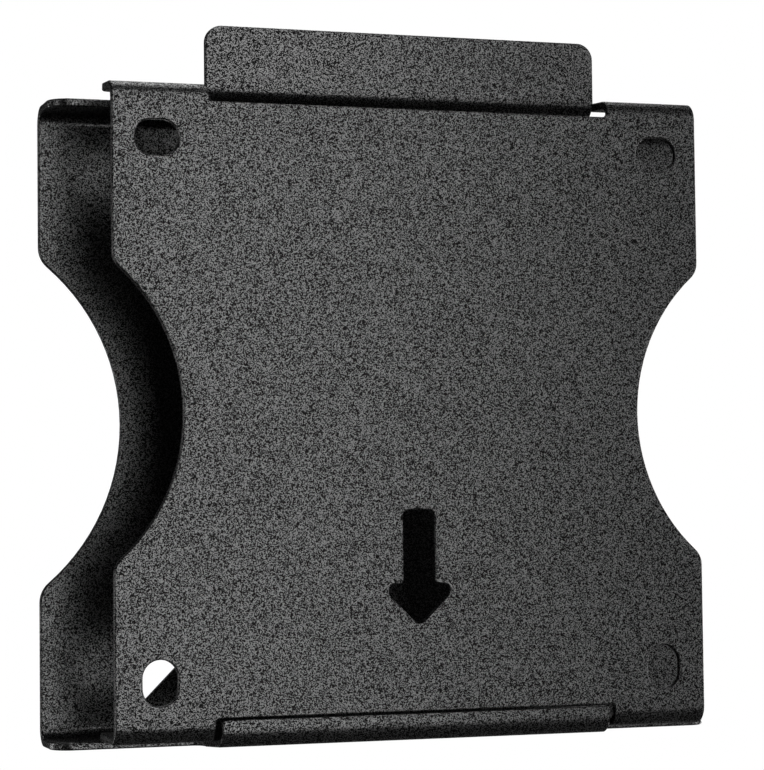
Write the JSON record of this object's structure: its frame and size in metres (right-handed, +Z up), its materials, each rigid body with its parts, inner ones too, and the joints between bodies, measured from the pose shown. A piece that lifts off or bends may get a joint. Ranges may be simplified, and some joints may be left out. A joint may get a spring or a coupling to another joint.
{
  "type": "tilting screen wall bracket",
  "caption": "Low-profile wall bracket of folded sheet steel: a screen plate hangs on a hooked wall plate and tilts on it, both with round waists.",
  "frame": {"origin": "middle of the wall plate's back face, which lies against the wall", "axes": "+Y into the wall, +Z up, +X to the right of a viewer who faces the wall"},
  "size_m": [0.1336, 0.0295, 0.1354],
  "materials": {
    "wall_plate": "satin, finely textured powder coat",
    "screen_plate": "satin, finely textured powder coat"
  },
  "bodies": {
    "wall_side": {"wall_plate": "wall_plate"},
    "screen_side": {"screen_plate": "screen_plate"}
  },
  "joints": [
    {"name": "tilt", "type": "hinge", "parent": "wall_side", "child": "screen_side", "pos_m": [0, -0.02103, 0.0614], "axis": [1, 0, 0], "range_deg": [0, 6]}
  ]
}
